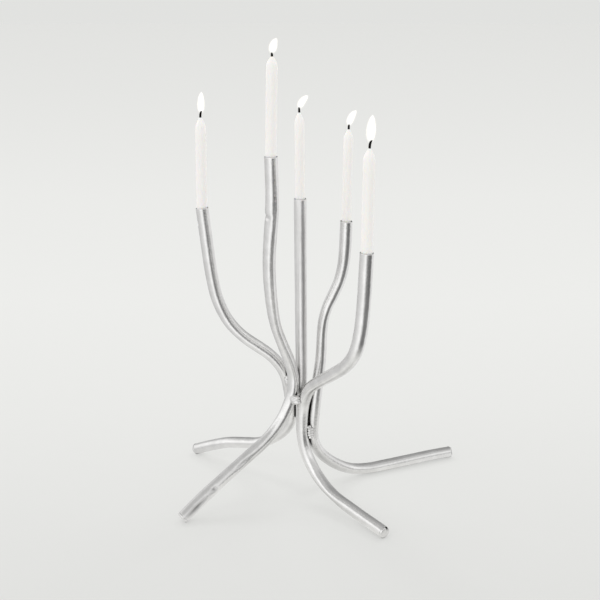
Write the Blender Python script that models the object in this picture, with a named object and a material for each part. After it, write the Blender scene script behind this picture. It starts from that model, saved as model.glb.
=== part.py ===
"""Five-light candelabra bent by hand from round aluminium tube.

Four long tubes stand on one end each, run up to a knot of welds at the waist and carry on as arms.
A fifth, straight tube rises from the middle of the knot. The open top of every tube is a candle socket.
Run with: blender --background --python part.py
"""

import math

import bmesh
import bpy
from mathutils import Matrix, Quaternion, Vector

MM = 0.001
GAP = 0.3 * MM  # clearance left between two pieces that touch

# Tube stock
TUBE_RADIUS = 8.0 * MM
TUBE_WALL = 0.9 * MM
BORE_RADIUS = TUBE_RADIUS - TUBE_WALL
TUBE_SEGMENTS = 14
BEND_STEP = math.radians(11)  # turn between two rings of a bent stretch
MAX_BEND_STEPS = 6

# Candles, measured from the mouth of the socket
CANDLE_RADIUS = 6.8 * MM
CANDLE_DEPTH = 24.0 * MM
CANDLE_HEEL_RADIUS = 3.8 * MM
STOP_DEPTH = 25.4 * MM
STOP_THICKNESS = 2.0 * MM

# Wicks
WICK_RADIUS = 0.8 * MM
WICK_HOLE_DEPTH = 5.0 * MM
WICK_SEGMENTS = 6

# Welded-in foot plugs
PLUG_HEAD_RADIUS = 8.6 * MM
PLUG_HEAD_LENGTH = 3.0 * MM
PLUG_SHANK_LENGTH = 9.0 * MM

# Bend points of each tube in millimetres from the foot of the centre tube's axis: +X right, +Y back,
# +Z up. The tube is straight at both ends and touches the middle of every side of this outline. Each
# leg ends at the height that lets only its foot plug's head touch the table.
BENDS = {
    "left": [
        (-123, -20, 401), (-116.5, -20, 337), (-109, -20, 278), (-84, -14, 231), (-22, -2, 186),
        (-11, 10, 117), (-13, 11, 82), (-53, 33, 45), (-103, 61, 36), (-155, 91, 7.9),
    ],
    "tall": [
        (-33.5, -95, 477), (-32, -94, 410), (-38, -82, 364), (-37.5, -65, 314), (-33, -40, 250),
        (-12, -18, 191), (-7, -13, 155), (-21, -22, 114), (-48, -37, 82), (-94, -62, 53),
        (-152, -99, 7.2),
    ],
    "centre": [(0.2, 0, 405), (2.4, 0, 100)],
    "right": [
        (59.3, 0, 378), (57.3, 0, 307), (30, -5, 256), (29, -5, 211), (26, -7, 171), (17.4, -9, 111),
        (17.4, -9, 61), (56, 11, 20), (96, 28, 7), (159, 54, 10), (222, 80, 8.3),
    ],
    "front": [
        (74, -165, 380), (70.6, -166, 282), (59, -135, 234), (30, -76, 193), (6, -18, 150),
        (1, -16, 90), (10, -24, 51), (39, -58, 18), (106, -136, 8.3),
    ],
}
LEGGED_TUBES = ("left", "tall", "right", "front")

# Each candle: height of its shoulder over the socket's mouth, height of the melted cone over the
# shoulder and length of bare wick (mm), then its lean to the right (degrees)
CANDLES = {
    "left": (101, 11.0, 9.0, 0.9),
    "tall": (104, 7.5, 6.0, 1.2),
    "centre": (101, 11.0, 7.0, -0.6),
    "right": (109, 9.5, 7.0, 0.6),
    "front": (108, 9.0, 10.0, 0.2),
}

# Each weld: the two tubes it joins, its height on them (mm) and the side it was laid from
WELDS = {
    "weld_front": ("tall", "front", 139, (0.1, -1, 0)),
    "weld_right": ("front", "right", 84, (0.5, -1, 0)),
    "weld_left": ("left", "tall", 160, (-1, -0.2, 0)),
    "weld_rear_left": ("left", "centre", 113, (0.4, 1, 0)),
    "weld_rear_right": ("centre", "right", 118, (0.3, 1, 0)),
    "weld_middle": ("centre", "front", 112, (-1, -0.2, 0)),
}
WELD_SIZE = (4.6 * MM, 5.2 * MM, 7.5 * MM)  # half extents: across the seam, outwards, along it
WELD_OFFSET = 4.5 * MM  # from the plane of the two axes


def clear_scene():
    for obj in list(bpy.data.objects):
        bpy.data.objects.remove(obj)


def make_material(name, colour, roughness, metallic):
    material = bpy.data.materials.new(name)
    material.use_nodes = True
    shader = material.node_tree.nodes["Principled BSDF"]
    shader.inputs["Base Color"].default_value = (*colour, 1.0)
    shader.inputs["Roughness"].default_value = roughness
    shader.inputs["Metallic"].default_value = metallic
    return material


def add_object(name, mesh, material, parent):
    obj = bpy.data.objects.new(name, mesh)
    bpy.context.collection.objects.link(obj)
    if material:
        mesh.materials.append(material)
    mesh.shade_smooth()
    mesh.set_sharp_from_angle(angle=math.radians(35))
    obj.parent = parent
    return obj


def add_empty(name, location, parent):
    empty = bpy.data.objects.new(name, None)
    empty.empty_display_size = 0.02
    empty.location = location
    empty.parent = parent
    bpy.context.collection.objects.link(empty)
    return empty


def bend_points(name):
    return [Vector(point) * MM for point in BENDS[name]]


def bent_path(points):
    """Centre line of a tube: straight ends, and at each bend point a curve from mid-side to mid-side."""
    path = [points[0]]
    middles = [(a + b) / 2 for a, b in zip(points, points[1:])]
    for start, bend, end in zip(middles, points[1:-1], middles[1:]):
        turn = (bend - start).angle(end - bend)
        steps = min(MAX_BEND_STEPS, max(1, math.ceil(turn / BEND_STEP)))
        for step in range(steps):
            t = step / steps
            path.append(start * (1 - t) ** 2 + bend * (2 * t * (1 - t)) + end * t**2)
    if len(points) > 2:
        path.append(middles[-1])
    path.append(points[-1])
    return path


def path_frames(path):
    """A rotation for each path point that turns +Z to the path without twisting round it."""
    tangents = []
    for i in range(len(path)):
        ahead = path[min(i + 1, len(path) - 1)]
        behind = path[max(i - 1, 0)]
        tangents.append((ahead - behind).normalized())
    frame = Vector((0, 0, 1)).rotation_difference(tangents[0])
    frames = [frame]
    for before, after in zip(tangents, tangents[1:]):
        frame = before.rotation_difference(after) @ frame
        frames.append(frame)
    return frames


def add_ring(bm, centre, frame, radius, segments):
    ring = []
    for i in range(segments):
        angle = 2 * math.pi * i / segments
        spoke = Vector((radius * math.cos(angle), radius * math.sin(angle), 0))
        ring.append(bm.verts.new(centre + frame @ spoke))
    return ring


def skin_rings(bm, rings, closed):
    """Quads between neighbouring rings; a closed skin also joins the last ring to the first."""
    following = rings[1:] + rings[:1] if closed else rings[1:]
    for lower, upper in zip(rings, following):
        count = len(lower)
        for i in range(count):
            j = (i + 1) % count
            bm.faces.new((lower[i], lower[j], upper[j], upper[i]))


def finish_mesh(bm, name):
    bmesh.ops.recalc_face_normals(bm, faces=bm.faces)
    mesh = bpy.data.meshes.new(name)
    bm.to_mesh(mesh)
    bm.free()
    return mesh


def pipe_mesh(name, path, outer_radius, bore_radius):
    bm = bmesh.new()
    frames = path_frames(path)
    outside = [add_ring(bm, p, f, outer_radius, TUBE_SEGMENTS) for p, f in zip(path, frames)]
    inside = [add_ring(bm, p, f, bore_radius, TUBE_SEGMENTS) for p, f in zip(path, frames)]
    skin_rings(bm, outside + inside[::-1], closed=True)
    return finish_mesh(bm, name)


def rod_mesh(name, path, radii, segments):
    """Solid round bar along a path, with a radius for each point."""
    bm = bmesh.new()
    frames = path_frames(path)
    rings = [add_ring(bm, p, f, r, segments) for p, f, r in zip(path, frames, radii)]
    skin_rings(bm, rings, closed=False)
    bm.faces.new(rings[0])
    bm.faces.new(rings[-1])
    return finish_mesh(bm, name)


def turned_mesh(name, profile, segments):
    """Solid of revolution about +Z from (radius, height) pairs that start and end near the axis."""
    bm = bmesh.new()
    upright = Quaternion()
    rings = [add_ring(bm, Vector((0, 0, h)), upright, r, segments) for r, h in profile]
    skin_rings(bm, rings, closed=False)
    bm.faces.new(rings[0])
    bm.faces.new(rings[-1])
    return finish_mesh(bm, name)


def place(obj, origin, direction):
    """Puts the object's own +Z axis on a line."""
    obj.rotation_mode = "QUATERNION"
    obj.rotation_quaternion = Vector((0, 0, 1)).rotation_difference(direction)
    obj.location = origin


def add_boolean(obj, cutter):
    modifier = obj.modifiers.new(cutter.name, "BOOLEAN")
    modifier.operation = "DIFFERENCE"
    modifier.solver = "EXACT"
    modifier.object = cutter


def as_cutter(obj):
    obj.hide_render = True
    obj.display_type = "WIRE"
    return obj


def add_tube(name, material, parent):
    path = bent_path(bend_points(name))
    mesh = pipe_mesh("tube_" + name, path, TUBE_RADIUS, BORE_RADIUS)
    return add_object("tube_" + name, mesh, material, parent)


def add_weld_cutter(name, parent):
    """The tube as a solid bar, fatter by the clearance, to shape the welds that lie against it."""
    path = bent_path(bend_points(name))
    fat_radius = TUBE_RADIUS + GAP
    mesh = rod_mesh("cutter_" + name, path, [fat_radius] * len(path), TUBE_SEGMENTS)
    return as_cutter(add_object("cutter_" + name, mesh, None, parent))


def add_table_cutter(parent):
    """Everything under the table top, to grind the flats on the feet."""
    bm = bmesh.new()
    bmesh.ops.create_cube(bm, size=1.0, matrix=Matrix.Translation((0, 0, -0.5)))
    return as_cutter(add_object("cutter_table", finish_mesh(bm, "cutter_table"), None, parent))


def add_foot_plug(name, table_cutter, material, parent):
    """A round plug pressed into the foot end, with a domed head, ground flat where it stands."""
    points = bend_points(name)
    shank = BORE_RADIUS - GAP
    head_top = GAP + PLUG_HEAD_LENGTH
    profile = [
        (shank - 0.8 * MM, -PLUG_SHANK_LENGTH),
        (shank, -PLUG_SHANK_LENGTH + 0.8 * MM),
        (shank, GAP),
        (PLUG_HEAD_RADIUS, GAP),
        (PLUG_HEAD_RADIUS, head_top - 1.2 * MM),
        (PLUG_HEAD_RADIUS - 1.4 * MM, head_top - 0.3 * MM),
        (PLUG_HEAD_RADIUS - 4.0 * MM, head_top),
    ]
    plug = add_object(
        "foot_plug_" + name, turned_mesh("foot_plug", profile, TUBE_SEGMENTS), material, parent
    )
    place(plug, points[-1], points[-1] - points[-2])
    add_boolean(plug, table_cutter)


def add_candle_stop(name, material, parent):
    """Disc fixed in the bore, on which the candle's heel stands."""
    points = bend_points(name)
    radius = BORE_RADIUS - GAP
    profile = [(radius, -STOP_DEPTH - STOP_THICKNESS), (radius, -STOP_DEPTH)]
    stop = add_object(
        "candle_stop_" + name, turned_mesh("candle_stop", profile, TUBE_SEGMENTS), material, parent
    )
    place(stop, points[0], points[0] - points[1])


def candle_profile(shoulder, tip):
    """Radius and height pairs, from the heel up, over the melted tip and down into the wick's hole."""
    cone = tip - shoulder
    hole = WICK_RADIUS + GAP
    return [
        (CANDLE_HEEL_RADIUS, -CANDLE_DEPTH),
        (CANDLE_RADIUS - 0.5 * MM, 0.8 * MM),
        (CANDLE_RADIUS, 1.6 * MM),
        (CANDLE_RADIUS, shoulder / 2),
        (CANDLE_RADIUS, shoulder - 1.5 * MM),
        (CANDLE_RADIUS * 0.92, shoulder + 1.2 * MM),
        (CANDLE_RADIUS * 0.68, shoulder + cone * 0.45),
        (CANDLE_RADIUS * 0.42, shoulder + cone * 0.82),
        (hole + 0.4 * MM, tip),
        (hole, tip),
        (hole, tip - WICK_HOLE_DEPTH),
    ]


def wick_path(tip, length):
    """From the bottom of its hole the wick stands up and curls over at its burnt end."""
    return [
        Vector((0, 0, tip - WICK_HOLE_DEPTH + GAP)),
        Vector((0, 0, tip + length * 0.4)),
        Vector((length * 0.15, 0, tip + length * 0.8)),
        Vector((length * 0.4, 0, tip + length)),
    ]


def add_candle(name, wax, cotton, parent):
    """Candle and wick on an empty that stands on the candle's axis at the socket's mouth."""
    height, cone, bare_wick, lean = CANDLES[name]
    shoulder = height * MM
    tip = (height + cone) * MM
    seat = add_empty("seat_" + name, bend_points(name)[0], parent)
    seat.rotation_euler.y = math.radians(lean)
    candle_mesh = turned_mesh("candle_" + name, candle_profile(shoulder, tip), TUBE_SEGMENTS)
    add_object("candle_" + name, candle_mesh, wax, seat)
    path = wick_path(tip, bare_wick * MM)
    radii = [WICK_RADIUS] * (len(path) - 1) + [WICK_RADIUS * 0.6]
    add_object("wick_" + name, rod_mesh("wick_" + name, path, radii, WICK_SEGMENTS), cotton, seat)


def point_at_height(path, height):
    """Where a path first comes down through a height."""
    for upper, lower in zip(path, path[1:]):
        if lower.z <= height <= upper.z:
            return upper.lerp(lower, (upper.z - height) / (upper.z - lower.z))
    return path[-1]


def add_weld(name, cutters, material, parent):
    """An egg-shaped bead in the groove between two tubes, cut back to clear every tube."""
    first, second, height, side = WELDS[name]
    ends = [point_at_height(bent_path(bend_points(tube)), height * MM) for tube in (first, second)]
    across = (ends[1] - ends[0]).normalized()
    along = across.cross(Vector(side)).normalized()
    outwards = along.cross(across)
    centre = (ends[0] + ends[1]) / 2 + outwards * WELD_OFFSET
    axes = Matrix((across, outwards, along)).transposed().to_4x4()
    bm = bmesh.new()
    bmesh.ops.create_uvsphere(
        bm, u_segments=14, v_segments=9, radius=1.0, matrix=Matrix.Diagonal((*WELD_SIZE, 1.0))
    )
    bead = add_object(name, finish_mesh(bm, name), material, parent)
    bead.matrix_basis = Matrix.Translation(centre) @ axes
    for tube in cutters:
        add_boolean(bead, cutters[tube])


def stand_on_origin(root):
    """Moves the whole candelabra so that the middle of its bounding box is over the origin."""
    bpy.context.view_layer.update()
    depsgraph = bpy.context.evaluated_depsgraph_get()
    corners = []
    for obj in bpy.data.objects:
        if obj.type == "MESH" and not obj.hide_render:
            shape = obj.evaluated_get(depsgraph)
            corners += [shape.matrix_world @ vertex.co for vertex in shape.data.vertices]
    for axis in range(2):
        values = [corner[axis] for corner in corners]
        root.location[axis] = -(min(values) + max(values)) / 2


def build():
    clear_scene()
    aluminium = make_material("tube_aluminium", (0.80, 0.80, 0.79), 0.32, 1.0)
    plug_aluminium = make_material("plug_aluminium", (0.78, 0.78, 0.77), 0.38, 1.0)
    weld_aluminium = make_material("weld_aluminium", (0.74, 0.74, 0.73), 0.42, 1.0)
    wax = make_material("candle_wax", (0.93, 0.92, 0.89), 0.45, 0.0)
    cotton = make_material("wick_cotton", (0.05, 0.045, 0.04), 0.9, 0.0)
    root = add_empty("candelabra", (0, 0, 0), None)
    cutters = {name: add_weld_cutter(name, root) for name in BENDS}
    table_cutter = add_table_cutter(root)
    for name in BENDS:
        add_tube(name, aluminium, root)
        add_candle_stop(name, plug_aluminium, root)
        add_candle(name, wax, cotton, root)
    for name in LEGGED_TUBES:
        add_foot_plug(name, table_cutter, plug_aluminium, root)
    for name in WELDS:
        add_weld(name, cutters, weld_aluminium, root)
    stand_on_origin(root)


build()
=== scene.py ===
import math

import bmesh
import bpy
from mathutils import Matrix, Vector, noise


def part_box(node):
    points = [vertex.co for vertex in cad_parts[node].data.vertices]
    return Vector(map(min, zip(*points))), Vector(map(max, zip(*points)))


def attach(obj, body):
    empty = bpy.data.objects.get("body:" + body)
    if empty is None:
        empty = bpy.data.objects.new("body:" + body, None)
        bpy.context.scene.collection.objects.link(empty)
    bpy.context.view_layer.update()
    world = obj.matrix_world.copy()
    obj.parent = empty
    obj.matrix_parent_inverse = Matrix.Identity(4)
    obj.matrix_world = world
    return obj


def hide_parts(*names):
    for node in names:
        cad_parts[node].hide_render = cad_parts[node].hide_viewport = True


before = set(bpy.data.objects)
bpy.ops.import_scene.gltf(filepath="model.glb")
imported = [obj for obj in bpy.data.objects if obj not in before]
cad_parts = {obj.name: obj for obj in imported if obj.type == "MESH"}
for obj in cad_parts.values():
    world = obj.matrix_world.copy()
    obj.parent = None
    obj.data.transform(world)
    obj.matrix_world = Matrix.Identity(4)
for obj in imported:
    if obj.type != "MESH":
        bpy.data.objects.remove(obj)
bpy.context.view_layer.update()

# The looks of a five-light candelabra of hand-bent aluminium tube. Every finished piece is laid out
# from the CAD node it stands for: a tube follows the rings of its CAD tube, a candle the axis of its
# CAD candle, and a weld the groove between its two tubes.

MM = 0.001
TUBES = ("left", "tall", "centre", "right", "front")
LEGGED_TUBES = ("left", "tall", "right", "front")
MERGE_DISTANCE = 0.001 * MM
TUBE_END_REACH = 20 * MM  # wider than a tube's end ring
CANDLE_HEEL_REACH = 10 * MM  # wider than a candle's heel

# Surface of the tubes
MOUTH_RISE = {"centre": 3.4 * MM, "right": 1.4 * MM, "front": 1.4 * MM}  # past the CAD tube's own mouth
TUBE_STEP = 1.6 * MM  # between two rings of the outer wall
BORE_STEP = 6.0 * MM
TUBE_SEGMENTS = 40
RIPPLES = ((24 * MM, 0.07 * MM), (7 * MM, 0.035 * MM))  # (length, height) of the hand-worked ripples
FLAT_LENGTH = 60 * MM  # of the long shallow flats that drawing and bending left on the wall
FLATS_ROUND = 1.6  # how often they change around the tube
FLAT_DEPTH = 0.02  # share of the radius
RIM_ROUNDING = ((0.0, 0.32 * MM), (0.08 * MM, 0.12 * MM), (0.3 * MM, 0.0))  # (from the end, inwards)
BEND_FLATTENING = 0.35  # share of (tube radius / bend radius) by which a bend is flattened
BEND_REACH = 12 * MM
CROSS_SPREAD = 0.6  # how much a squeezed tube spreads the other way

# The metals: light and dark colour of each one's patches, its roughness and the depth of its grain
METALS = {
    "tube_aluminium": ((0.89, 0.885, 0.875, 1), (0.81, 0.805, 0.795, 1), 0.20, 0.45 * MM),
    "dull_tube_aluminium": ((0.91, 0.905, 0.895, 1), (0.84, 0.835, 0.825, 1), 0.33, 0.45 * MM),
    "plug_aluminium": ((0.90, 0.895, 0.885, 1), (0.78, 0.775, 0.765, 1), 0.24, 0.40 * MM),
    "weld_aluminium": ((0.92, 0.915, 0.905, 1), (0.72, 0.715, 0.705, 1), 0.20, 0.40 * MM),
}
PATCH_SCALE = 70.0  # per metre, as are the next two
PEEL_SCALE = 380.0
SCRATCH_SCALES = (60.0, 2600.0, 2600.0)  # along the tube, then across it
SCRATCH_DEPTH = 0.06 * MM
ROUGHNESS_SPREAD = (-0.05, 0.07)  # what the scratches take from the roughness and add to it
CREVICE_REACH = 6.5 * MM  # how near another wall must be for painted shade to darken the metal
CREVICE_OPENNESS = (0.2, 0.72)  # from full painted shade to bare metal, as shares of the open sky
# near black colour of the painted shade in crevices, dents and pits
SHADE_BLACK = (0.02, 0.02, 0.019, 1)

# Where a tube is squeezed: height on it, half length (mm), share of its width, side (world)
SQUEEZES = {
    "tall": ((238, 55, 0.12, (1, 0, 0)), (25, 30, 0.14, (0.5, -0.3, 0.8))),
    "right": ((235, 60, 0.13, (1, 0, 0)),),
    "front": ((22, 20, 0.12, (0.1, 0.3, 1)),),
}

# Dents: height on the tube, half length along it, half width and depth (mm), side (world) and the share
# of painted shade that darkens it; a negative depth is a bulge
DENTS = {
    "tall": (
        (406, 3.4, 6, 2.2, (-1, -0.8, 0), 0.0),
        (395, 9, 6, 0.9, (-0.5, -1, 0), 0.0),
        (415, 6, 6, -0.5, (-1, -0.3, 0), 0.0),
        (19, 15, 2.6, 2.0, (0.38, -0.8, 0.1), 0.75),
        (36, 5, 3.0, 1.4, (0.3, -0.8, 0.2), 0.45),
        (62, 14, 3.4, 1.1, (0.2, -0.8, 0.2), 0.0),
    ),
    "front": ((19, 14, 9, 1.0, (0.3, -0.3, 1), 0.0),),
    "left": ((231, 16, 16, 0.5, (1, 0, 0.5), 0.0),),
    "right": ((12, 16, 10, 0.5, (0, -0.6, 1), 0.0),),
}

# Foot plugs: head profile as (share of the head's radius, distance past the tube's end)
PLUG_SEGMENTS = 64
PLUG_HEAD_RADIUS = 8.1 * MM
PLUG_PROFILE = (
    (0.80, -1.0 * MM), (0.93, -0.2 * MM), (0.98, 0.1 * MM), (1.0, 0.5 * MM), (1.0, 1.0 * MM),
    (0.99, 1.6 * MM), (0.95, 2.3 * MM), (0.87, 2.9 * MM), (0.74, 3.3 * MM), (0.58, 3.5 * MM),
    (0.4, 3.6 * MM), (0.2, 3.6 * MM),
)
PLUG_CORE = 2 * MM  # how far inside the tube's end the point lies that the lumps and pits lean towards
PLUG_LUMPS = 2.0  # how much finer and higher a plug's lumps are than the ripples

# Pits that the melt left in a plug: side (world), distance past the tube's end, radius and depth (mm),
# and the share of painted shade that darkens it
PITS = {
    "front": (((0.75, 0.35, 1.0), 2.0, 3.3, 3.8, 0.95), ((-0.1, 0.6, 1.0), 1.8, 1.7, 2.2, 0.3)),
    "right": (((0.2, -0.7, 0.3), 1.4, 3.0, 3.4, 0.95), ((0.2, 0.2, 1.0), 1.2, 1.8, 1.2, 0.4)),
    "tall": (((0.6, -0.6, 0.4), 1.0, 1.8, 1.6, 0.3),),
}

# Welds: the two tubes each one joins, then in millimetres how far the middle of its row of drops lies
# from the CAD weld's (across the groove, out of it, up along it), the row's length and the radii of a
# drop, across the groove and out of it
WELDS = {
    "weld_front": ("tall", "front", (-1.2, 1.4, 1.0), 8.5, 8.4, 5.0),
    "weld_right": ("front", "right", (0.0, 0.8, 5.5), 15.0, 5.4, 4.4),
    "weld_left": ("left", "tall", (0, -0.6, 0), 11.5, 5.2, 3.6),
    "weld_rear_left": ("left", "centre", (0, -0.6, 0), 11.5, 5.2, 3.6),
    "weld_rear_right": ("centre", "right", (0, -0.6, 0), 11.5, 5.2, 3.6),
    "weld_middle": ("centre", "front", (0, -0.6, 0), 11.5, 5.2, 3.6),
}
WELD_DROPS = 5
DROP_LENGTH = 2.6  # mm, half a drop's size along the groove
ROW_TAPER = 1.1  # how fast the drops shrink away from the row's middle
DROP_SUBDIVISIONS = 3
DROP_WOBBLE = (2.6, 1.8)  # mm, across the groove and out of it
WOBBLE_SCALE = 700  # per metre, so that every weld wobbles differently
WELD_VOXEL = 0.45 * MM
WELD_SMOOTHING = 3

# Burnt ends, in millimetres from the candle's shoulder: where the wick ends (right, up), where the
# flame ends (right, up) and the flame's width
BURNT_ENDS = {
    "left": ((1.8, 20.0), (2.2, 42.5), 13.5),
    "tall": ((-0.4, 13.0), (5.6, 28.5), 14.0),
    "centre": ((-0.4, 18.5), (10.9, 32.5), 13.5),
    "right": ((0.6, 16.5), (9.6, 33.5), 13.5),
    "front": ((2.6, 19.5), (2.8, 45.5), 15.5),
}

# A candle's outline: at its foot as (share of its radius, mm above its heel), along its shaft the shares
# of the way to its shoulder that are full width, and above the shoulder as (share of its radius, share
# of the cone)
CANDLE_FOOT = ((0.55, 0.0), (0.86, 0.8), (0.91, 4), (0.97, 23), (1.0, 30))
CANDLE_SHAFT = (0.5, 0.8)
CANDLE_SHOULDER = 3 * MM  # how far below the shoulder it begins to round
CANDLE_CONE = ((0.94, 0.15), (0.68, 0.5), (0.36, 0.85), (0.18, 1.0))
CANDLE_SEGMENTS = 48
CANDLE_ROUNDS = 2  # of corner cutting on that outline
FULL_WIDTH = 0.99  # share of the CAD candle's radius from which a ring counts as full width
WAX_RIPPLE = 0.08  # height of the wax's ripples, as a share of the metal's
CANDLE_WIDTHS = {"left": 0.99, "tall": 0.97, "centre": 0.9, "right": 0.88, "front": 0.98}  # times the CAD's
WICK_RADIUS = 1.35 * MM
WICK_SHARES = (0.9, 1.0, 1.05, 1.0, 0.95, 0.5)  # of that radius, from the wax to the burnt end
WICK_BEND = ((0.1, 0.45), (0.6, 0.85))  # points on the way up, as shares of (sideways, up)
WICK_ROOT = 2 * MM  # inside the wax
WICK_SEGMENTS = 12
WICK_STEP = 0.5 * MM
FLAME_SEGMENTS = 32
FLAME_STEP = 0.8 * MM
FLAME_RINGS = 24
FLAME_BEND = ((0.12, 0.33), (0.48, 0.7))  # as WICK_BEND
FLAME_SHAPE = (1.7, 0.55, 0.65)  # fullness, and how fast it opens at its base and closes at its tip
FLAME_START = 0.35  # share of the wick's height at which the flame begins
THINNEST_FLAME = 0.02  # before the width is multiplied in
FLAME_BEHIND = 3.4 * MM  # the draught carries the flames this far behind their wicks
FLAME_WHITE = (1.0, 0.99, 0.95, 1)
FLAME_WARM = (1.0, 0.9, 0.66, 1)
FLAME_STRENGTH = 1.3
FLAME_WARMING = (0.35, 0.85)  # from white to warm: 0 is the middle of the flame, 1 its outline
FLAME_CLEARING = (0.05, 0.75)  # from full to clear, likewise
FLAME_FOOT = 0.3  # share of the flame's length over which it grows from clear to full
FLICKER_SCALE = 120.0  # per metre
GLOW_REACH = 26 * MM  # how far down a candle the painted glow fades from its level under the flame
WAX_GLOW = (0.18, 0.14)  # painted glow of the wax: under the flame, and from there on down the whole candle
CLOUD_SCALE = 90.0  # per metre, of the wax's clouds
CLOUD_STRETCH = (1.0, 1.0, 0.25)  # they are four times as long as they are wide
BRAID_SCALE = 2600.0  # per metre, of the wick's braid

# Photographer's stage
CAMERA_BACK = 1.130  # in front of the centre tube
CAMERA_ASIDE = -2.4 * MM
CAMERA_HEIGHT = 0.640
CAMERA_PITCH = math.radians(18)
LENS = 54.0
SENSOR = 36.0
FLOOR_RADIUS = 40.0
FLOOR_SEGMENTS = 96
TOOTH_SCALE = 30.0  # per metre, of the paper's tooth
FLOOR_GLOW_SHARE = 0.7  # of the floor's look that is painted glow, so that the shadows only darken the rest
PAPER_TINT = (1.0, 1.003, 0.98)
# The floor's painted glow, standing in for the fall of the light across it, as (the camera's height over the
# distance ahead of it, level)
FLOOR_GLOW = ((0.0, 0.74), (0.1, 0.79), (0.2, 0.845), (0.32, 0.865), (0.45, 0.83), (0.6, 0.77), (0.75, 0.73))
ROOM_LIGHT = (0.70, 0.705, 0.70, 1)  # what lights the floor and the wax
ROOM_SEEN = (0.757, 0.761, 0.745, 1)  # what the camera sees above the floor

# Lamps: direction they shine from, how many degrees wide they are, strength
LAMPS = {
    "back_left_light": ((-0.45, 0.55, 1.0), 22, 0.5),
    "back_right_light": ((0.5, 0.5, 1.0), 22, 0.45),
    "front_left_light": ((-0.8, -0.5, 0.8), 30, 0.3),
}

# Painted reflection that only the metal mirrors. Near the feet it is a white sweep, with painted shade under
# the waist.
SWEEP_WHITE = (0.83, 0.83, 0.815, 1)
SWEEP_EDGE = (0.12, 0.28)  # from the middle, where the sweep passes into the room's floor
SHADE_RADIUS = 0.11
SHADE_UNDER_WAIST = ((0.0, 0.6), (0.6, 0.85), (1.0, 1.0))  # (share of that radius, factor)

# The room's floor, its walls low and high and its ceiling, as (bearing in degrees, grey level). Bearing 0
# is towards the camera, 90 to the right as the camera sees it and -90 to the left.
ROOM_FLOOR = (
    (-180, 0.78), (-158, 0.74), (-140, 0.62), (-105, 0.64), (-80, 0.72), (-50, 0.8), (-30, 1.0), (-8, 1.12),
    (2, 0.9), (11, 0.45), (22, 0.24), (38, 0.18), (64, 0.2), (80, 0.4), (93, 0.85), (130, 0.8), (180, 0.78),
)
ROOM_LOW = (
    (-180, 0.48), (-165, 0.52), (-148, 0.8), (-120, 0.7), (-100, 0.88), (-60, 0.94), (-30, 1.1), (-5, 1.2),
    (10, 1.05), (24, 0.65), (60, 0.6), (80, 0.6), (105, 0.85), (130, 0.6), (150, 0.5), (180, 0.48),
)
ROOM_HIGH = (
    (-180, 0.3), (-160, 0.28), (-140, 0.6), (-115, 1.05), (-50, 1.2), (-20, 1.15), (10, 0.85), (30, 0.75),
    (50, 0.95), (75, 1.1), (100, 0.85), (125, 0.62), (145, 0.42), (160, 0.3), (180, 0.3),
)
ROOM_CEILING = (
    (-180, 0.42), (-135, 0.48), (-105, 0.56), (-60, 0.55), (0, 0.58), (60, 0.64), (90, 0.58), (120, 0.42),
    (145, 0.36), (180, 0.42),
)
LOW_TO_HIGH = (0.10, 0.32)  # where one passes into the next, as sines of elevation
HIGH_TO_CEILING = (0.50, 0.70)

# In the painted reflection the floor to the right is dark between the sweep and a brighter part: how far
# right that stretch begins and ends, its (share of the stretch, factor), and where it fades out towards the
# back
GAP_SPAN = (0.3, 2.1)
GAP = ((0.0, 1.0), (0.14, 1.3), (0.28, 1.1), (0.37, 0.5), (0.5, 0.3), (0.64, 0.6), (0.89, 1.1), (1.0, 1.5))
GAP_BACK = (-0.15, 0.2)


# Reading the CAD frame


def read_rings(node, pick_first, reach):
    """The rings of a swept or turned CAD node, from one end on, as (centre, outer radius, inner radius).

    pick_first is max or min: the end to start from is the node's highest or lowest one. Its first ring
    is everything within reach of that vertex, and each next ring is what the last one's edges lead to.
    """
    bm = bmesh.new()
    bm.from_mesh(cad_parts[node].data)
    bmesh.ops.remove_doubles(bm, verts=bm.verts, dist=MERGE_DISTANCE)
    bm.verts.index_update()
    first = pick_first(bm.verts, key=lambda vertex: vertex.co.z)
    level = [vertex for vertex in bm.verts if (vertex.co - first.co).length < reach]
    seen = set(level)
    rings = []
    while level:
        centre = sum((vertex.co for vertex in level), Vector()) / len(level)
        distances = [(vertex.co - centre).length for vertex in level]
        rings.append((centre, max(distances), min(distances)))
        following = {edge.other_vert(vertex) for vertex in level for edge in vertex.link_edges} - seen
        level = sorted(following, key=lambda vertex: vertex.index)
        seen.update(level)
    bm.free()
    return rings


# Paths and meshes


def curve_point(points, index, share):
    """A point between points[index] and the next on a centripetal Catmull-Rom curve through them all."""
    before = points[index - 1] if index > 0 else points[0] * 2 - points[1]
    start = points[index]
    end = points[index + 1]
    after = points[index + 2] if index + 2 < len(points) else points[-1] * 2 - points[-2]
    corners = (before, start, end, after)
    knots = [0.0]
    for a, b in zip(corners, corners[1:]):
        knots.append(knots[-1] + math.sqrt((b - a).length))
    t = knots[1] + (knots[2] - knots[1]) * share

    def blend(a, b, low, high):
        return a.lerp(b, (t - low) / (high - low))

    first = [blend(corners[i], corners[i + 1], knots[i], knots[i + 1]) for i in range(3)]
    second = [blend(first[i], first[i + 1], knots[i], knots[i + 2]) for i in range(2)]
    return blend(second[0], second[1], knots[1], knots[2])


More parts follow.
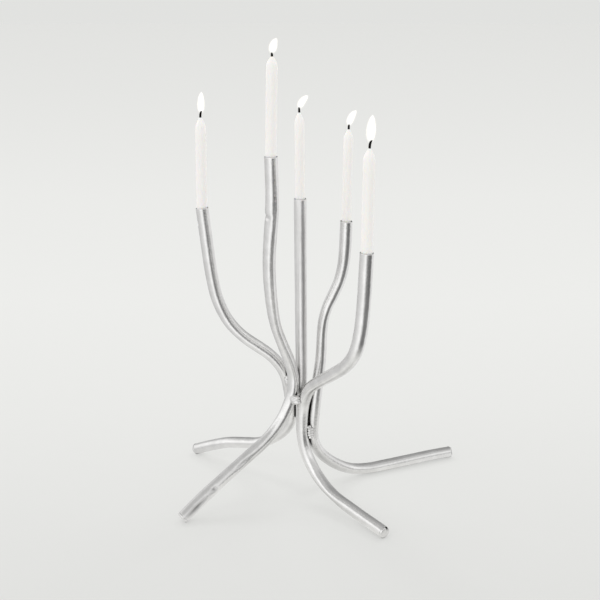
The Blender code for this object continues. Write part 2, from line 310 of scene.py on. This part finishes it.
class Path:
    """A smooth curve with a frame that doesn't twist, found by the distance along it."""

    def __init__(self, corners, step):
        self.points = []
        for index in range(len(corners) - 1):
            steps = max(1, round((corners[index + 1] - corners[index]).length / step))
            self.points += [curve_point(corners, index, i / steps) for i in range(steps)]
        self.points.append(corners[-1].copy())
        self.distances = [0.0]
        for a, b in zip(self.points, self.points[1:]):
            self.distances.append(self.distances[-1] + (b - a).length)
        self.length = self.distances[-1]
        self.tangents = self._tangents()
        self.normals = self._normals()

    def _tangents(self):
        last = len(self.points) - 1
        return [
            (self.points[min(i + 1, last)] - self.points[max(i - 1, 0)]).normalized()
            for i in range(last + 1)
        ]

    def _normals(self):
        normals = [self.tangents[0].orthogonal().normalized()]
        for a, b in zip(self.tangents, self.tangents[1:]):
            normals.append(a.rotation_difference(b) @ normals[-1])
        return normals

    def index_at(self, distance):
        """The index and share of the piece of the path that a distance falls in."""
        low = 0
        high = len(self.distances) - 2
        while low < high:
            middle = (low + high + 1) // 2
            if self.distances[middle] <= distance:
                low = middle
            else:
                high = middle - 1
        span = self.distances[low + 1] - self.distances[low]
        return low, (distance - self.distances[low]) / span

    def frame_at(self, distance):
        """Point, tangent, normal and binormal at a distance; past the ends the path runs on straight."""
        index, share = self.index_at(distance)
        point = self.points[index].lerp(self.points[index + 1], share)
        tangent = self.tangents[index].lerp(self.tangents[index + 1], min(1, max(0, share))).normalized()
        normal = self.normals[index].lerp(self.normals[index + 1], min(1, max(0, share)))
        normal = (normal - tangent * normal.dot(tangent)).normalized()
        return point, tangent, normal, tangent.cross(normal)

    def curvature_at(self, distance, reach):
        """The bend's direction times one over its radius, averaged over reach to both sides."""
        start = max(0.0, distance - reach)
        end = min(self.length, distance + reach)
        return (self.frame_at(end)[1] - self.frame_at(start)[1]) / (end - start)

    def distance_at_height(self, height):
        """How far along the path first comes down through a height."""
        for index, (a, b) in enumerate(zip(self.points, self.points[1:])):
            if b.z <= height <= a.z:
                return self.distances[index] + (a - b).length * (a.z - height) / (a.z - b.z)
        return self.length


def skin(name, rings, grain, closed=False, painted_shade=None):
    """A smooth closed mesh through rings of points; closed joins the last ring to the first.

    grain holds a vector for every point, for materials that follow the piece's own shape. The shade
    shares, if given, hold the share of painted shade at every point.
    """
    count = len(rings[0])
    points = [point for ring in rings for point in ring]
    faces = []
    spans = len(rings) if closed else len(rings) - 1
    for row in range(spans):
        here = row * count
        there = (row + 1) % len(rings) * count
        for i in range(count):
            j = (i + 1) % count
            faces.append((here + i, here + j, there + j, there + i))
    if not closed:
        faces.append(tuple(range(count - 1, -1, -1)))
        faces.append(tuple(range((len(rings) - 1) * count, len(rings) * count)))
    mesh = bpy.data.meshes.new(name)
    mesh.from_pydata(points, [], faces)
    layer = mesh.attributes.new("grain", "FLOAT_VECTOR", "POINT")
    for item, value in zip(layer.data, (value for ring in grain for value in ring)):
        item.vector = value
    if painted_shade:
        layer = mesh.attributes.new("painted_shade", "FLOAT", "POINT")
        for item, value in zip(layer.data, (value for ring in painted_shade for value in ring)):
            item.value = min(1.0, value)
    bm = bmesh.new()
    bm.from_mesh(mesh)
    bmesh.ops.recalc_face_normals(bm, faces=bm.faces)
    bm.to_mesh(mesh)
    bm.free()
    mesh.shade_smooth()
    return mesh


def add_piece(name, mesh, material, body, slot, *nodes):
    """Puts a mesh in the scene as a piece that rides on a CAD body and stands for CAD nodes."""
    piece = bpy.data.objects.new(name, mesh)
    bpy.context.scene.collection.objects.link(piece)
    mesh.materials.clear()
    mesh.materials.append(material)
    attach(piece, body)
    if nodes:
        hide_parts(*nodes)
    return piece


def turn(index, segments):
    """The angle of one of the points around a ring."""
    return 2 * math.pi * index / segments


def ripple(point):
    """Height of the hand-worked ripples at a point of the surface."""
    return sum(noise.noise(point / length) * height for length, height in RIPPLES)


# Tubes


def squeezed(offset, side, amount):
    """An offset from the centre line, squeezed along side and spread across it."""
    along = side * offset.dot(side)
    return along * (1 - amount) + (offset - along) * (1 + amount * CROSS_SPREAD)


def bell(distance, reach):
    """1 at no distance, falling smoothly to about a third at reach and to nothing well beyond it."""
    return math.exp(-((distance / reach) ** 2))


def tube_offset(path, distance, direction, radius, squeezes, dents):
    """Where a wall point lies from the centre line, after bending, squeezing, denting and rippling, and
    the share of painted shade there."""
    centre, tangent = path.frame_at(distance)[:2]
    flat = noise.noise(direction * FLATS_ROUND + centre / FLAT_LENGTH) * FLAT_DEPTH
    offset = direction * radius * (1 + flat)
    bend = path.curvature_at(distance, BEND_REACH)
    if bend.length > 0:
        flattening = BEND_FLATTENING * bend.length * radius
        offset = squeezed(offset, bend.normalized(), flattening)
    for middle, reach, amount, side in squeezes:
        across = (side - tangent * side.dot(tangent)).normalized()
        offset = squeezed(offset, across, amount * bell(distance - middle, reach))
    hollow = 0.0
    # share of painted shade that darkens the dents
    painted_shade = 0.0
    for middle, length, width, depth, share in dents:
        away = centre + offset - middle
        along = away.dot(tangent)
        across = (away - tangent * along).length
        nearness = bell(along, length) * bell(across, width)
        hollow += depth * nearness
        painted_shade += share * nearness
    offset = offset - direction * hollow
    return offset + direction * ripple(centre + offset), painted_shade


def tube_rings(path, radius, bore):
    """(distance along, radius, is outer) of each ring: down the outer wall, then back up the bore."""
    steps = round(path.length / TUBE_STEP)
    outer = [path.length * i / steps for i in range(1, steps)]
    inner_steps = round(path.length / BORE_STEP)
    inner = [path.length * (1 - i / inner_steps) for i in range(1, inner_steps)]
    rings = [(setback, radius - inset) for setback, inset in RIM_ROUNDING]
    rings += [(distance, radius) for distance in outer]
    rings += [(path.length - setback, radius - inset) for setback, inset in reversed(RIM_ROUNDING)]
    rings += [(path.length - setback, bore + inset / 2) for setback, inset in RIM_ROUNDING]
    rings += [(distance, bore) for distance in inner]
    rings += [(setback, bore + inset / 2) for setback, inset in reversed(RIM_ROUNDING)]
    return rings


def surface_point(path, height, side, radius):
    """The point of a tube's wall at a height, on the side given in world directions."""
    centre, tangent = path.frame_at(path.distance_at_height(height))[:2]
    across = (side - tangent * side.dot(tangent)).normalized()
    return centre + across * radius


def tube_mesh(name, path, radius, bore):
    squeezes = [
        (path.distance_at_height(height * MM), reach * MM, amount, Vector(side).normalized())
        for height, reach, amount, side in SQUEEZES.get(name, ())
    ]
    dents = [
        (surface_point(path, height * MM, Vector(side), radius), length * MM, width * MM, depth * MM, share)
        for height, length, width, depth, side, share in DENTS.get(name, ())
    ]
    rings = []
    grain = []
    # painted shade in the dents, as a share at every point
    painted_shade = []
    for distance, ring_radius in tube_rings(path, radius, bore):
        centre, _, normal, binormal = path.frame_at(distance)
        ring = []
        ring_grain = []
        ring_shade = []
        for i in range(TUBE_SEGMENTS):
            angle = turn(i, TUBE_SEGMENTS)
            direction = normal * math.cos(angle) + binormal * math.sin(angle)
            offset, share = tube_offset(path, distance, direction, ring_radius, squeezes, dents)
            ring.append(centre + offset)
            ring_shade.append(share)
            ring_grain.append((distance, ring_radius * math.cos(angle), ring_radius * math.sin(angle)))
        rings.append(ring)
        grain.append(ring_grain)
        painted_shade.append(ring_shade)
    return skin("tube_" + name, rings, grain, closed=True, painted_shade=painted_shade)


def read_tube(name):
    """Centre line, radius and bore of a CAD tube, from its mouth down, with the mouth's rise added."""
    rings = read_rings("tube_" + name, max, TUBE_END_REACH)
    corners = [centre for centre, _, _ in rings]
    corners[0] = corners[0] + (corners[0] - corners[1]).normalized() * MOUTH_RISE.get(name, 0.0)
    path = Path(corners, TUBE_STEP)
    return path, rings[0][1], rings[0][2]


# Materials


class Nodes:
    """Short calls that put a node tree together. Values are numbers, colours or other nodes' sockets."""

    def __init__(self, tree):
        self.tree = tree

    def add(self, kind, settings=None, **inputs):
        """Adds a node; an input's name is written with _ for a space."""
        item = self.tree.nodes.new("ShaderNode" + kind)
        for key, value in (settings or {}).items():
            setattr(item, key, value)
        for key, value in inputs.items():
            self.plug(item.inputs[key.replace("_", " ")], value)
        return item

    def plug(self, socket, value):
        if isinstance(value, bpy.types.NodeSocket):
            self.tree.links.new(value, socket)
        else:
            socket.default_value = value

    def math(self, operation, first, second):
        item = self.add("Math", {"operation": operation})
        self.plug(item.inputs[0], first)
        self.plug(item.inputs[1], second)
        return item.outputs[0]

    def noise(self, vector, scale, detail, roughness=0.5):
        item = self.add("TexNoise", Vector=vector, Scale=scale, Detail=detail, Roughness=roughness)
        return item.outputs["Fac"]

    def place(self):
        """Where a point lies in the object, in metres."""
        return self.add("TexCoord").outputs["Object"]

    def parts(self, vector):
        """A vector's X, Y and Z."""
        return self.add("SeparateXYZ", Vector=vector).outputs

    def length(self, vector):
        item = self.add("VectorMath", {"operation": "LENGTH"})
        self.plug(item.inputs[0], vector)
        return item.outputs["Value"]

    def stretched(self, vector, scale):
        return self.add("Mapping", Vector=vector, Scale=scale).outputs["Vector"]

    def ranged(self, value, low, high, to_low=0.0, to_high=1.0):
        limits = {"From Min": low, "From Max": high, "To Min": to_low, "To Max": to_high}
        item = self.add("MapRange", Value=value)
        for key, limit in limits.items():
            self.plug(item.inputs[key], limit)
        return item.outputs["Result"]

    def mixed(self, share, first, second):
        item = self.add("Mix", {"data_type": "RGBA"})
        colours = [socket for socket in item.inputs if socket.type == "RGBA"]
        self.plug(item.inputs["Factor"], share)
        self.plug(colours[0], first)
        self.plug(colours[1], second)
        return next(socket for socket in item.outputs if socket.type == "RGBA")

    def tinted(self, colour, tint):
        item = self.add("VectorMath", {"operation": "MULTIPLY"})
        self.plug(item.inputs[0], colour)
        self.plug(item.inputs[1], tint)
        return item.outputs["Vector"]

    def bumped(self, height, strength, distance, normal=None):
        item = self.add("Bump", Height=height, Strength=strength, Distance=distance)
        if normal is not None:
            self.plug(item.inputs["Normal"], normal)
        return item.outputs["Normal"]

    def blended(self, share, first, second):
        item = self.add("MixShader")
        for socket, value in zip(item.inputs, (share, first.outputs[0], second.outputs[0])):
            self.plug(socket, value)
        return item

    def levels(self, value, stops):
        """Grey levels that follow a list of (place from 0 to 1, level)."""
        item = self.add("ValToRGB", Fac=value)
        elements = item.color_ramp.elements
        elements[0].position = stops[0][0]
        elements[1].position = stops[-1][0]
        for place, _ in stops[1:-1]:
            elements.new(place)
        for element, (_, level) in zip(elements, stops):
            element.color = (level, level, level, 1)
        return item.outputs["Color"]

    def round_levels(self, vector, stops):
        """Grey levels by compass bearing: 0 towards the camera, 90 to its right, -90 to its left."""
        parts = self.parts(vector)
        bearing = self.math("ARCTAN2", parts["X"], self.math("MULTIPLY", parts["Y"], -1.0))
        turned = self.ranged(bearing, -math.pi, math.pi)
        return self.levels(turned, [((degrees + 180) / 360, level) for degrees, level in stops])


def new_material(name):
    """A material, its Nodes and its Principled BSDF, which is what it shows until show() is called."""
    material = bpy.data.materials.new(name)
    material.use_nodes = True
    nodes = Nodes(material.node_tree)
    return material, nodes, material.node_tree.nodes["Principled BSDF"]


def finish_surface(nodes, surface, **inputs):
    for key, value in inputs.items():
        nodes.plug(surface.inputs[key.replace("_", " ")], value)


def show(nodes, shader):
    nodes.plug(nodes.tree.nodes["Material Output"].inputs["Surface"], shader.outputs[0])


def shared_attribute(nodes, name):
    return nodes.add("Attribute", {"attribute_name": name}).outputs["Vector"]


def aluminium(name, light, dark, roughness, grain_depth):
    """Bare aluminium rubbed by hand: a soft orange-peel grain, long fine scratches, duller patches and
    near black painted shade, in the crevices and in the deepest dents."""
    material, nodes, surface = new_material(name)
    grain = shared_attribute(nodes, "grain")
    place = nodes.place()
    patches = nodes.noise(place, PATCH_SCALE, detail=5.0)
    peel = nodes.noise(place, PEEL_SCALE, detail=3.0, roughness=0.6)
    scratches = nodes.noise(nodes.stretched(grain, SCRATCH_SCALES), 1.0, detail=4.0, roughness=0.6)
    scratched = nodes.bumped(scratches, strength=0.35, distance=SCRATCH_DEPTH)
    # how much open sky a point sees nearby; the less it sees, the more painted shade darkens it
    openness = nodes.add("AmbientOcclusion", {"samples": 8}, Distance=CREVICE_REACH).outputs["AO"]
    metal_colour = nodes.mixed(nodes.ranged(patches, 0.35, 0.65), dark, light)
    # painted shade in the dents and pits, stored on the mesh, darkens the metal's colour
    painted_shade = nodes.add("Attribute", {"attribute_name": "painted_shade"}).outputs["Fac"]
    metal_colour = nodes.mixed(painted_shade, metal_colour, SHADE_BLACK)
    smoothest, roughest = (roughness + change for change in ROUGHNESS_SPREAD)
    finish_surface(
        nodes,
        surface,
        # painted shade: near black where another wall is close, the metal's own colour in the open
        Base_Color=nodes.mixed(nodes.ranged(openness, *CREVICE_OPENNESS), SHADE_BLACK, metal_colour),
        Metallic=1.0,
        Roughness=nodes.ranged(scratches, 0.3, 0.7, smoothest, roughest),
        Normal=nodes.bumped(peel, strength=0.5, distance=grain_depth, normal=scratched),
    )
    return material


def wax():
    """Clean white candle wax, a little translucent, with a painted glow all along it, a little stronger under
    the flame.
    """
    material, nodes, surface = new_material("candle_wax")
    place = nodes.place()
    clouds = nodes.noise(nodes.stretched(place, CLOUD_STRETCH), CLOUD_SCALE, detail=2.0)
    depth = nodes.parts(shared_attribute(nodes, "grain"))["X"]
    finish_surface(
        nodes,
        surface,
        Base_Color=nodes.mixed(clouds, (0.94, 0.91, 0.89, 1), (0.95, 0.92, 0.9, 1)),
        Roughness=0.45,
        Subsurface_Weight=0.3,
        Subsurface_Radius=(1.0, 0.8, 0.6),
        Subsurface_Scale=3 * MM,
        # painted glow over the whole wax, a little stronger near the tip
        Emission_Color=(1.0, 0.98, 0.955, 1),
        Emission_Strength=nodes.ranged(depth, 0.0, GLOW_REACH, *WAX_GLOW),
        Normal=nodes.bumped(clouds, strength=0.1, distance=0.1 * MM),
    )
    return material


def burnt_cotton():
    """Charred wick: black, faintly braided, with a few ashen fibres."""
    material, nodes, surface = new_material("wick_cotton")
    place = nodes.place()
    braid = nodes.noise(place, BRAID_SCALE, detail=2.0)
    ash = nodes.ranged(braid, 0.45, 0.75)
    finish_surface(
        nodes,
        surface,
        Base_Color=nodes.mixed(ash, (0.004, 0.0035, 0.003, 1), (0.02, 0.018, 0.016, 1)),
        Roughness=0.9,
        Specular_IOR_Level=0.1,
        Normal=nodes.bumped(braid, strength=0.8, distance=0.3 * MM),
    )
    return material


def flame_light():
    """A flame: white in its body, warm and clear towards its outline and round the wick."""
    material, nodes, _ = new_material("flame_light")
    facing = nodes.add("LayerWeight", Blend=0.5).outputs["Facing"]
    flicker = nodes.noise(nodes.place(), FLICKER_SCALE, 1.0)
    edge = nodes.math("ADD", facing, nodes.ranged(flicker, 0.3, 0.7, -0.06, 0.06))
    rise = nodes.parts(shared_attribute(nodes, "grain"))["X"]
    colour = nodes.mixed(nodes.ranged(edge, *FLAME_WARMING), FLAME_WHITE, FLAME_WARM)
    shine = nodes.add("Emission", Color=colour, Strength=FLAME_STRENGTH)
    thickness = nodes.ranged(edge, *FLAME_CLEARING, 1.0, 0.0)
    body = nodes.math("MULTIPLY", thickness, nodes.ranged(rise, 0.0, FLAME_FOOT))
    front = nodes.math("SUBTRACT", 1.0, nodes.add("NewGeometry").outputs["Backfacing"])
    flame = nodes.blended(nodes.math("MULTIPLY", body, front), nodes.add("BsdfTransparent"), shine)
    show(nodes, flame)
    return material


def floor_paper():
    """Plain pale floor with hardly any tooth, glowing a little so that the shadows on it stay faint.

    In the metal it shows a painted reflection of the real sweep: white near the feet with painted shade under
    the waist, and past its edge the light and dark parts of the room's floor.
    """
    material, nodes, surface = new_material("floor_paper")
    place = nodes.place()
    tooth = nodes.noise(place, TOOTH_SCALE, detail=6.0)
    finish_surface(
        nodes,
        surface,
        Base_Color=nodes.mixed(tooth, (0.80, 0.80, 0.785, 1), (0.82, 0.82, 0.805, 1)),
        Roughness=0.7,
        Specular_IOR_Level=0.1,
    )
    parts = nodes.parts(place)
    ahead = nodes.math("ADD", parts["Y"], CAMERA_BACK)
    steepness = nodes.math("DIVIDE", CAMERA_HEIGHT, ahead)
    # painted glow that varies with distance, standing in for the fall of the light across the floor
    glow = nodes.add("Emission", Color=nodes.tinted(nodes.levels(steepness, FLOOR_GLOW), PAPER_TINT))
    seen = nodes.blended(FLOOR_GLOW_SHARE, surface, glow)
    distance = nodes.length(place)
    far = nodes.round_levels(place, ROOM_FLOOR)
    gap = nodes.levels(nodes.ranged(parts["X"], *GAP_SPAN), GAP)
    gap = nodes.mixed(nodes.ranged(parts["Y"], *GAP_BACK), gap, (1, 1, 1, 1))
    shade = nodes.levels(nodes.ranged(distance, 0.0, SHADE_RADIUS), SHADE_UNDER_WAIST)
    level = nodes.mixed(nodes.ranged(distance, *SWEEP_EDGE), SWEEP_WHITE, far)
    # painted reflection: what glossy rays see of the floor, in place of its lit surface
    mirrored = nodes.add("Emission", Color=nodes.tinted(nodes.tinted(level, gap), shade))
    glossy_ray = nodes.add("LightPath").outputs["Is Glossy Ray"]
    floor = nodes.blended(glossy_ray, seen, mirrored)
    show(nodes, floor)
    return material


# Feet, welds, candles


def ring_around(centre, normal, binormal, radius, segments):
    return [
        centre
        + normal * math.cos(turn(i, segments)) * radius
        + binormal * math.sin(turn(i, segments)) * radius
        for i in range(segments)
    ]


def foot_plug_mesh(name, path):
    """The melted-over head that closes a leg's end: domed, lumpy, pitted and flat on the floor, with painted
    shade in its pits.
    """
    end, tangent, normal, binormal = path.frame_at(path.length)
    pits = []
    for side, past, reach, depth, share in PITS.get(name, ()):
        across = (Vector(side) - tangent * tangent.dot(Vector(side))).normalized()
        pit = end + tangent * past * MM + across * PLUG_HEAD_RADIUS
        pits.append((pit, reach * MM, depth * MM, share))
    rings = []
    grain = []
    painted_shade = []
    for radius_share, past in PLUG_PROFILE:
        radius = PLUG_HEAD_RADIUS * radius_share
        ring = ring_around(end + tangent * past, normal, binormal, radius, PLUG_SEGMENTS)
        ring_grain = []
        ring_shade = []
        for i, point in enumerate(ring):
            inwards = (end - tangent * PLUG_CORE - point).normalized()
            hollow = sum(depth * bell((point - pit).length, reach) for pit, reach, depth, _ in pits)
            # painted shade darkens the pits
            ring_shade.append(
                sum(share * bell((point - pit).length, reach) for pit, reach, _, share in pits)
            )
            point = point + inwards * (hollow - ripple(point * PLUG_LUMPS) * PLUG_LUMPS)
            point.z = max(0.0, point.z)
            ring[i] = point
            ring_grain.append((past, *(point - end).xy))
        rings.append(ring)
        grain.append(ring_grain)
        painted_shade.append(ring_shade)
    return skin("foot_plug_" + name, rings, grain, painted_shade=painted_shade)


def candle_axis(name):
    """Heel, direction and radius of a CAD candle, and how far its shoulder and its tip are from its heel."""
    rings = read_rings("candle_" + name, min, CANDLE_HEEL_REACH)
    heel = rings[0][0]
    tip = max(rings, key=lambda ring: ring[0].z)[0]
    up = (tip - heel).normalized()
    radius = max(outer for _, outer, _ in rings)
    full = [(centre - heel).dot(up) for centre, outer, _ in rings if outer > radius * FULL_WIDTH]
    return heel, up, radius, max(full), (tip - heel).length


def smoothed(profile, rounds):
    """Cuts the corners of a profile of (radius, height) pairs a quarter in, and keeps its ends."""
    for _ in range(rounds):
        cut = [profile[0]]
        for (r0, h0), (r1, h1) in zip(profile, profile[1:]):
            cut.append((r0 * 0.75 + r1 * 0.25, h0 * 0.75 + h1 * 0.25))
            cut.append((r0 * 0.25 + r1 * 0.75, h0 * 0.25 + h1 * 0.75))
        cut.append(profile[-1])
        profile = cut
    return profile


def candle_mesh(name, heel, up, radius, shoulder, tip):
    cone = tip - shoulder
    profile = [(radius * share, height * MM) for share, height in CANDLE_FOOT]
    profile += [(radius, shoulder * share) for share in CANDLE_SHAFT]
    profile.append((radius, shoulder - CANDLE_SHOULDER))
    profile += [(radius * share, shoulder + cone * rise) for share, rise in CANDLE_CONE]
    normal = up.orthogonal().normalized()
    binormal = up.cross(normal)
    rings = []
    grain = []
    for ring_radius, height in smoothed(profile, CANDLE_ROUNDS):
        centre = heel + up * height
        ring = ring_around(centre, normal, binormal, ring_radius, CANDLE_SEGMENTS)
        ring = [point + (point - centre).normalized() * ripple(point) * WAX_RIPPLE for point in ring]
        rings.append(ring)
        grain.append([(tip - height, 0, 0)] * CANDLE_SEGMENTS)
    return skin("candle_" + name, rings, grain)


def swept(name, corners, radii, segments, step):
    """A rod along a smooth curve whose radius follows the list of radii, spread over its length."""
    path = Path(corners, step)
    rings = []
    grain = []
    for distance in path.distances:
        share = distance / path.length * (len(radii) - 1)
        index = min(int(share), len(radii) - 2)
        radius = radii[index] + (radii[index + 1] - radii[index]) * (share - index)
        point, _, normal, binormal = path.frame_at(distance)
        rings.append(ring_around(point, normal, binormal, radius, segments))
        grain.append([(distance / path.length, 0, 0)] * segments)
    return skin(name, rings, grain)


def bent_rise(base, end, bend):
    """The corners of a curve that rises from base to end, through points given as shares of the way."""
    rise = end - base
    return [base + Vector((rise.x * sideways, 0, rise.z * up)) for sideways, up in bend] + [end]


def wick_mesh(name, base, end):
    """A wick that stands out of the wax and leans over to its burnt end."""
    corners = [base - Vector((0, 0, WICK_ROOT))] + bent_rise(base, end, WICK_BEND)
    radii = [WICK_RADIUS * share for share in WICK_SHARES]
    return swept("wick_" + name, corners, radii, WICK_SEGMENTS, WICK_STEP)


def flame_mesh(name, base, end, width):
    """A teardrop on a spine that leaves the wick nearly straight up and is blown over towards its tip."""
    corners = [base] + bent_rise(base, end, FLAME_BEND)
    fullness, opening, closing = FLAME_SHAPE
    radii = []
    for i in range(FLAME_RINGS + 1):
        share = i / FLAME_RINGS
        radii.append(max(THINNEST_FLAME, fullness * share**opening * (1 - share) ** closing) * width / 2)
    return swept("flame_" + name, corners, radii, FLAME_SEGMENTS, FLAME_STEP)


def weld_mesh(name, paths, shift, length, across_radius, out_radius):
    """A bead laid along the groove between two tubes, built up from overlapping drops."""
    low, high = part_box(name)
    middle = (low + high) / 2
    nearest = [min(path.points, key=lambda point: (point - middle).length) for path in paths]
    across = (nearest[1] - nearest[0]).normalized()
    outwards = middle - (nearest[0] + nearest[1]) / 2
    outwards = (outwards - across * outwards.dot(across)).normalized()
    along = across.cross(outwards)
    if along.z < 0:
        along = -along
    axes = Matrix((across, outwards, along)).transposed()
    bm = bmesh.new()
    for i in range(WELD_DROPS):
        share = i / (WELD_DROPS - 1) - 0.5
        size = 1 - ROW_TAPER * share * share
        wobble = noise.noise(middle * WOBBLE_SCALE + Vector((i, 0, 0)))
        drop = Matrix.Diagonal((across_radius * size, out_radius * size, DROP_LENGTH)) * MM
        place = Vector(shift) + Vector((wobble * DROP_WOBBLE[0], wobble * DROP_WOBBLE[1], share * length))
        centre = middle + axes @ (place * MM)
        matrix = Matrix.Translation(centre) @ (axes @ drop.to_3x3()).to_4x4()
        bmesh.ops.create_icosphere(bm, subdivisions=DROP_SUBDIVISIONS, radius=1.0, matrix=matrix)
    mesh = bpy.data.meshes.new(name)
    bm.to_mesh(mesh)
    bm.free()
    return mesh


def add_weld(name, paths, material):
    first, second, *sizes = WELDS[name]
    mesh = weld_mesh(name, (paths[first], paths[second]), *sizes)
    piece = add_piece(name + "_bead", mesh, material, "frame", "weld_aluminium", name)
    remesh = piece.modifiers.new("one_bead", "REMESH")
    remesh.mode = "VOXEL"
    remesh.voxel_size = WELD_VOXEL
    remesh.use_smooth_shade = True
    smooth = piece.modifiers.new("melted", "SMOOTH")
    smooth.iterations = WELD_SMOOTHING


def add_tubes():
    """The tubes, their plugs and their welds; the centre tube has a duller finish than the others."""
    metals = {name: aluminium(name, *METALS[name]) for name in METALS}
    filed = metals["plug_aluminium"]
    paths = {}
    for name in TUBES:
        path, radius, bore = read_tube(name)
        paths[name] = path
        node = "tube_" + name
        mesh = tube_mesh(name, path, radius, bore)
        metal = metals["dull_tube_aluminium" if name == "centre" else "tube_aluminium"]
        add_piece(node + "_wall", mesh, metal, "frame", "tube_aluminium", node)
        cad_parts["candle_stop_" + name].data.materials[0] = filed
    for name in LEGGED_TUBES:
        node = "foot_plug_" + name
        mesh = foot_plug_mesh(name, paths[name])
        add_piece(node + "_head", mesh, filed, "frame", "plug_aluminium", node)
    for name in WELDS:
        add_weld(name, paths, metals["weld_aluminium"])


def add_candle(name, white, char, fire):
    """A candle with its burnt wick and its flame, which ride together on the candle's body."""
    body = "candle_" + name
    heel, up, radius, shoulder, tip = candle_axis(name)
    mesh = candle_mesh(name, heel, up, radius * CANDLE_WIDTHS[name], shoulder, tip)
    add_piece("candle_" + name + "_wax", mesh, white, body, "candle_wax", "candle_" + name)
    corner = heel + up * shoulder
    wick_end, flame_end, width = BURNT_ENDS[name]
    behind = Vector((0, FLAME_BEHIND, 0))
    top = heel + up * tip
    wick_top = corner + Vector((wick_end[0], 0, wick_end[1])) * MM
    flame_top = corner + Vector((flame_end[0], 0, flame_end[1])) * MM + behind
    mesh = wick_mesh(name, top, wick_top)
    add_piece("wick_" + name + "_char", mesh, char, body, "wick_cotton", "wick_" + name)
    mesh = flame_mesh(name, top.lerp(wick_top, FLAME_START) + behind, flame_top, width * MM)
    flame = add_piece("flame_" + name, mesh, fire, body, None)
    flame.visible_shadow = False


def add_candles():
    white = wax()
    char = burnt_cotton()
    fire = flame_light()
    for name in TUBES:
        add_candle(name, white, char, fire)


# Stage


def add_floor():
    bm = bmesh.new()
    bmesh.ops.create_circle(bm, cap_ends=True, radius=FLOOR_RADIUS, segments=FLOOR_SEGMENTS)
    mesh = bpy.data.meshes.new("floor")
    bm.to_mesh(mesh)
    bm.free()
    mesh.materials.append(floor_paper())
    floor = bpy.data.objects.new("floor", mesh)
    bpy.context.scene.collection.objects.link(floor)


def add_world():
    """An even pale room. The metal alone mirrors its softboxes, its dim ceiling and its dark back."""
    world = bpy.data.worlds.new("studio")
    bpy.context.scene.world = world
    world.use_nodes = True
    world.cycles.sampling_method = "NONE"
    world.node_tree.nodes.clear()
    nodes = Nodes(world.node_tree)
    direction = nodes.add("TexCoord").outputs["Generated"]
    height = nodes.parts(direction)["Z"]
    low = nodes.round_levels(direction, ROOM_LOW)
    high = nodes.round_levels(direction, ROOM_HIGH)
    ceiling = nodes.round_levels(direction, ROOM_CEILING)
    walls = nodes.mixed(nodes.ranged(height, *LOW_TO_HIGH), low, high)
    mirrored = nodes.mixed(nodes.ranged(height, *HIGH_TO_CEILING), walls, ceiling)
    rays = nodes.add("LightPath").outputs
    plain = nodes.mixed(rays["Is Camera Ray"], ROOM_LIGHT, ROOM_SEEN)
    colour = nodes.mixed(rays["Is Glossy Ray"], plain, mirrored)
    background = nodes.add("Background", Color=colour)
    nodes.add("OutputWorld", Surface=background.outputs[0])


def add_light(name, direction, spread, strength):
    """Soft even light from one direction; it lights the floor and the wax but isn't mirrored in the metal."""
    data = bpy.data.lights.new(name, "SUN")
    data.angle = math.radians(spread)
    data.energy = strength
    lamp = bpy.data.objects.new(name, data)
    bpy.context.scene.collection.objects.link(lamp)
    lamp.rotation_euler = Vector(direction).to_track_quat("Z", "Y").to_euler()
    lamp.visible_glossy = False


def add_camera():
    foot = read_rings("tube_centre", min, TUBE_END_REACH)[0][0]
    data = bpy.data.cameras.new("camera")
    data.lens = LENS
    data.sensor_width = SENSOR
    camera = bpy.data.objects.new("camera", data)
    bpy.context.scene.collection.objects.link(camera)
    camera.location = (foot.x + CAMERA_ASIDE, foot.y - CAMERA_BACK, CAMERA_HEIGHT)
    camera.rotation_euler = (math.pi / 2 - CAMERA_PITCH, 0, 0)
    bpy.context.scene.camera = camera


add_tubes()
add_candles()
add_floor()
add_world()
for lamp in LAMPS:
    add_light(lamp, *LAMPS[lamp])
add_camera()
bpy.context.scene.view_settings.view_transform = "Standard"
